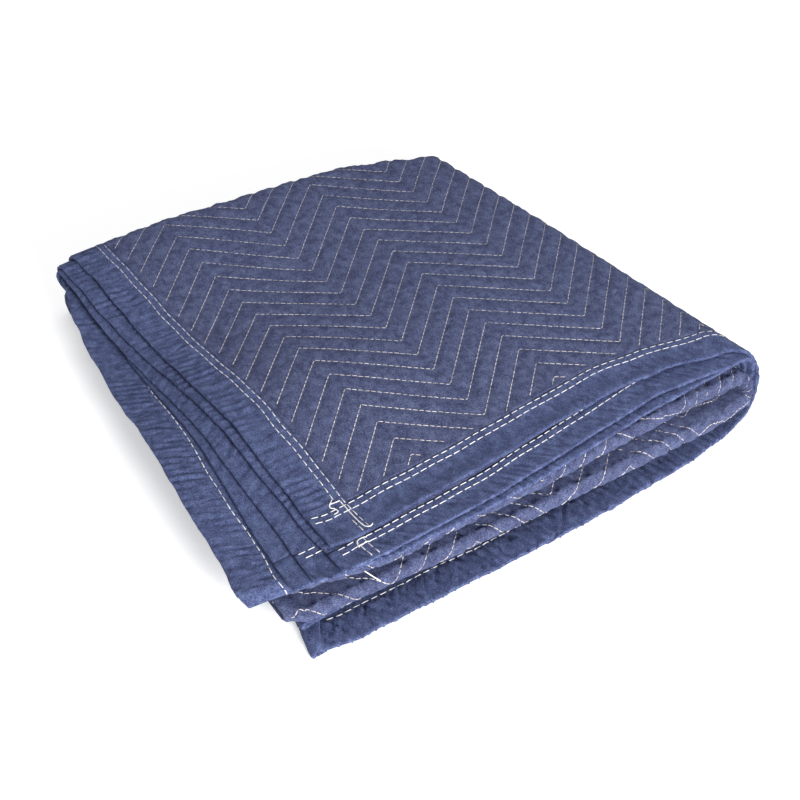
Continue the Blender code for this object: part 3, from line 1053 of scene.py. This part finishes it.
# ---- the pieces
DARK, MIDDLE, LIGHT = (0.024, 0.026, 0.066), (0.060, 0.070, 0.150), (0.140, 0.168, 0.290)
BAND_DARK, BAND_MIDDLE, BAND_LIGHT = (0.024, 0.029, 0.076), (0.058, 0.073, 0.164), (0.132, 0.170, 0.325)

quilted_cloth = cloth_material("quilted_cloth", DARK, MIDDLE, LIGHT, 0.18)
binding_cloth = cloth_material("binding_cloth", BAND_DARK, BAND_MIDDLE, BAND_LIGHT, 0.20, wrinkles=1.25)
quilt_thread = thread_material("quilting_yarn", (0.34, 0.31, 0.31), (0.68, 0.64, 0.62))
band_thread = thread_material("binding_yarn", (0.58, 0.56, 0.57), (0.88, 0.87, 0.87))

STRIPS = (                   # hem, piece and the CAD node that it stands for
    ("front", "front_binding", "binding_front_hem"),
    ("far", "far_binding", "binding_far_hem"),
    ("upper", "upper_side_binding", "binding_upper_side"),
    ("lower", "lower_side_binding", "binding_lower_side"),
)

panel = make_panel(quilted_cloth)
strips = {side: make_strip(name, side, binding_cloth) for side, name, node in STRIPS}
cover = surface_tree([panel, *strips.values()])
quilting = make_thread("quilting_thread", quilting_stitches(), cover, QUILT_THREAD, quilt_thread)
seams = [row for side in strips for row in binding_stitches(side)]
knots = [laid_path(plan, cover) for plan in CORNER_PATHS] + [smooth_path(HANGING_END)]
sewing = make_thread("binding_thread", seams, cover, BINDING_THREAD, band_thread, knots)

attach(panel, "root")
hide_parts("quilted_panel")
for side, name, node in STRIPS:
    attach(strips[side], "root")
    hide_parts(node)
for item in (quilting, sewing):
    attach(item, "root")

# ---- floor, light and camera
TARGET = (0.0312, -0.3035, 0.068)
CAMERA_DISTANCE = 1.3176
CAMERA_ELEVATION = math.radians(41.57)
CAMERA_TURN = math.radians(37.17)
SENSOR_WIDTH = 36.0          # in millimetres
FOCAL = 1.875                # in sensor widths
FLOOR_REACH = 6.0
FLOOR_GLOW = 0.45
WORLD_LIGHT = 0.38
LIGHTS = (                   # name, place, size and power, all aimed at the origin
    ("key", (-0.30, -1.62, 0.60), 0.7, 42),
    ("top", (0.0, 0.3, 2.1), 1.2, 15),
)


def make_floor():
    mesh = bpy.data.meshes.new("floor")
    corners = [(x * FLOOR_REACH, y * FLOOR_REACH, 0) for x, y in ((-1, -1), (1, -1), (1, 1), (-1, 1))]
    mesh.from_pydata(corners, [], [(0, 1, 2, 3)])
    mesh.materials.append(floor_material())
    add_object("floor", mesh)


def make_light(name, place, size, power):
    light = bpy.data.lights.new(name, "AREA")
    light.shape = "DISK"
    light.size = size
    light.energy = power
    item = add_object(name, light)
    item.location = place
    item.rotation_euler = (-Vector(place)).to_track_quat("-Z", "Y").to_euler()


def make_camera():
    camera = bpy.data.cameras.new("camera")
    camera.sensor_width = SENSOR_WIDTH
    camera.lens = SENSOR_WIDTH * FOCAL
    camera.clip_start = 0.01
    camera.clip_end = 50.0
    item = add_object("camera", camera)
    aim = Vector((TARGET[0] - PILE_CENTRE[0], TARGET[1] - PILE_CENTRE[1], TARGET[2]))
    back = Vector((-math.sin(CAMERA_TURN) * math.cos(CAMERA_ELEVATION),
                   -math.cos(CAMERA_TURN) * math.cos(CAMERA_ELEVATION), math.sin(CAMERA_ELEVATION)))
    item.location = aim + back * CAMERA_DISTANCE
    item.rotation_euler = back.to_track_quat("Z", "Y").to_euler()
    bpy.context.scene.camera = item


def make_world():
    world = bpy.data.worlds.new("studio")
    world.use_nodes = True
    background = world.node_tree.nodes["Background"]
    background.inputs["Color"].default_value = (1.0, 1.0, 1.0, 1)
    background.inputs["Strength"].default_value = WORLD_LIGHT
    bpy.context.scene.world = world


make_floor()
for name, place, size, power in LIGHTS:
    make_light(name, place, size, power)
make_camera()
make_world()
bpy.context.scene.view_settings.view_transform = "Standard"
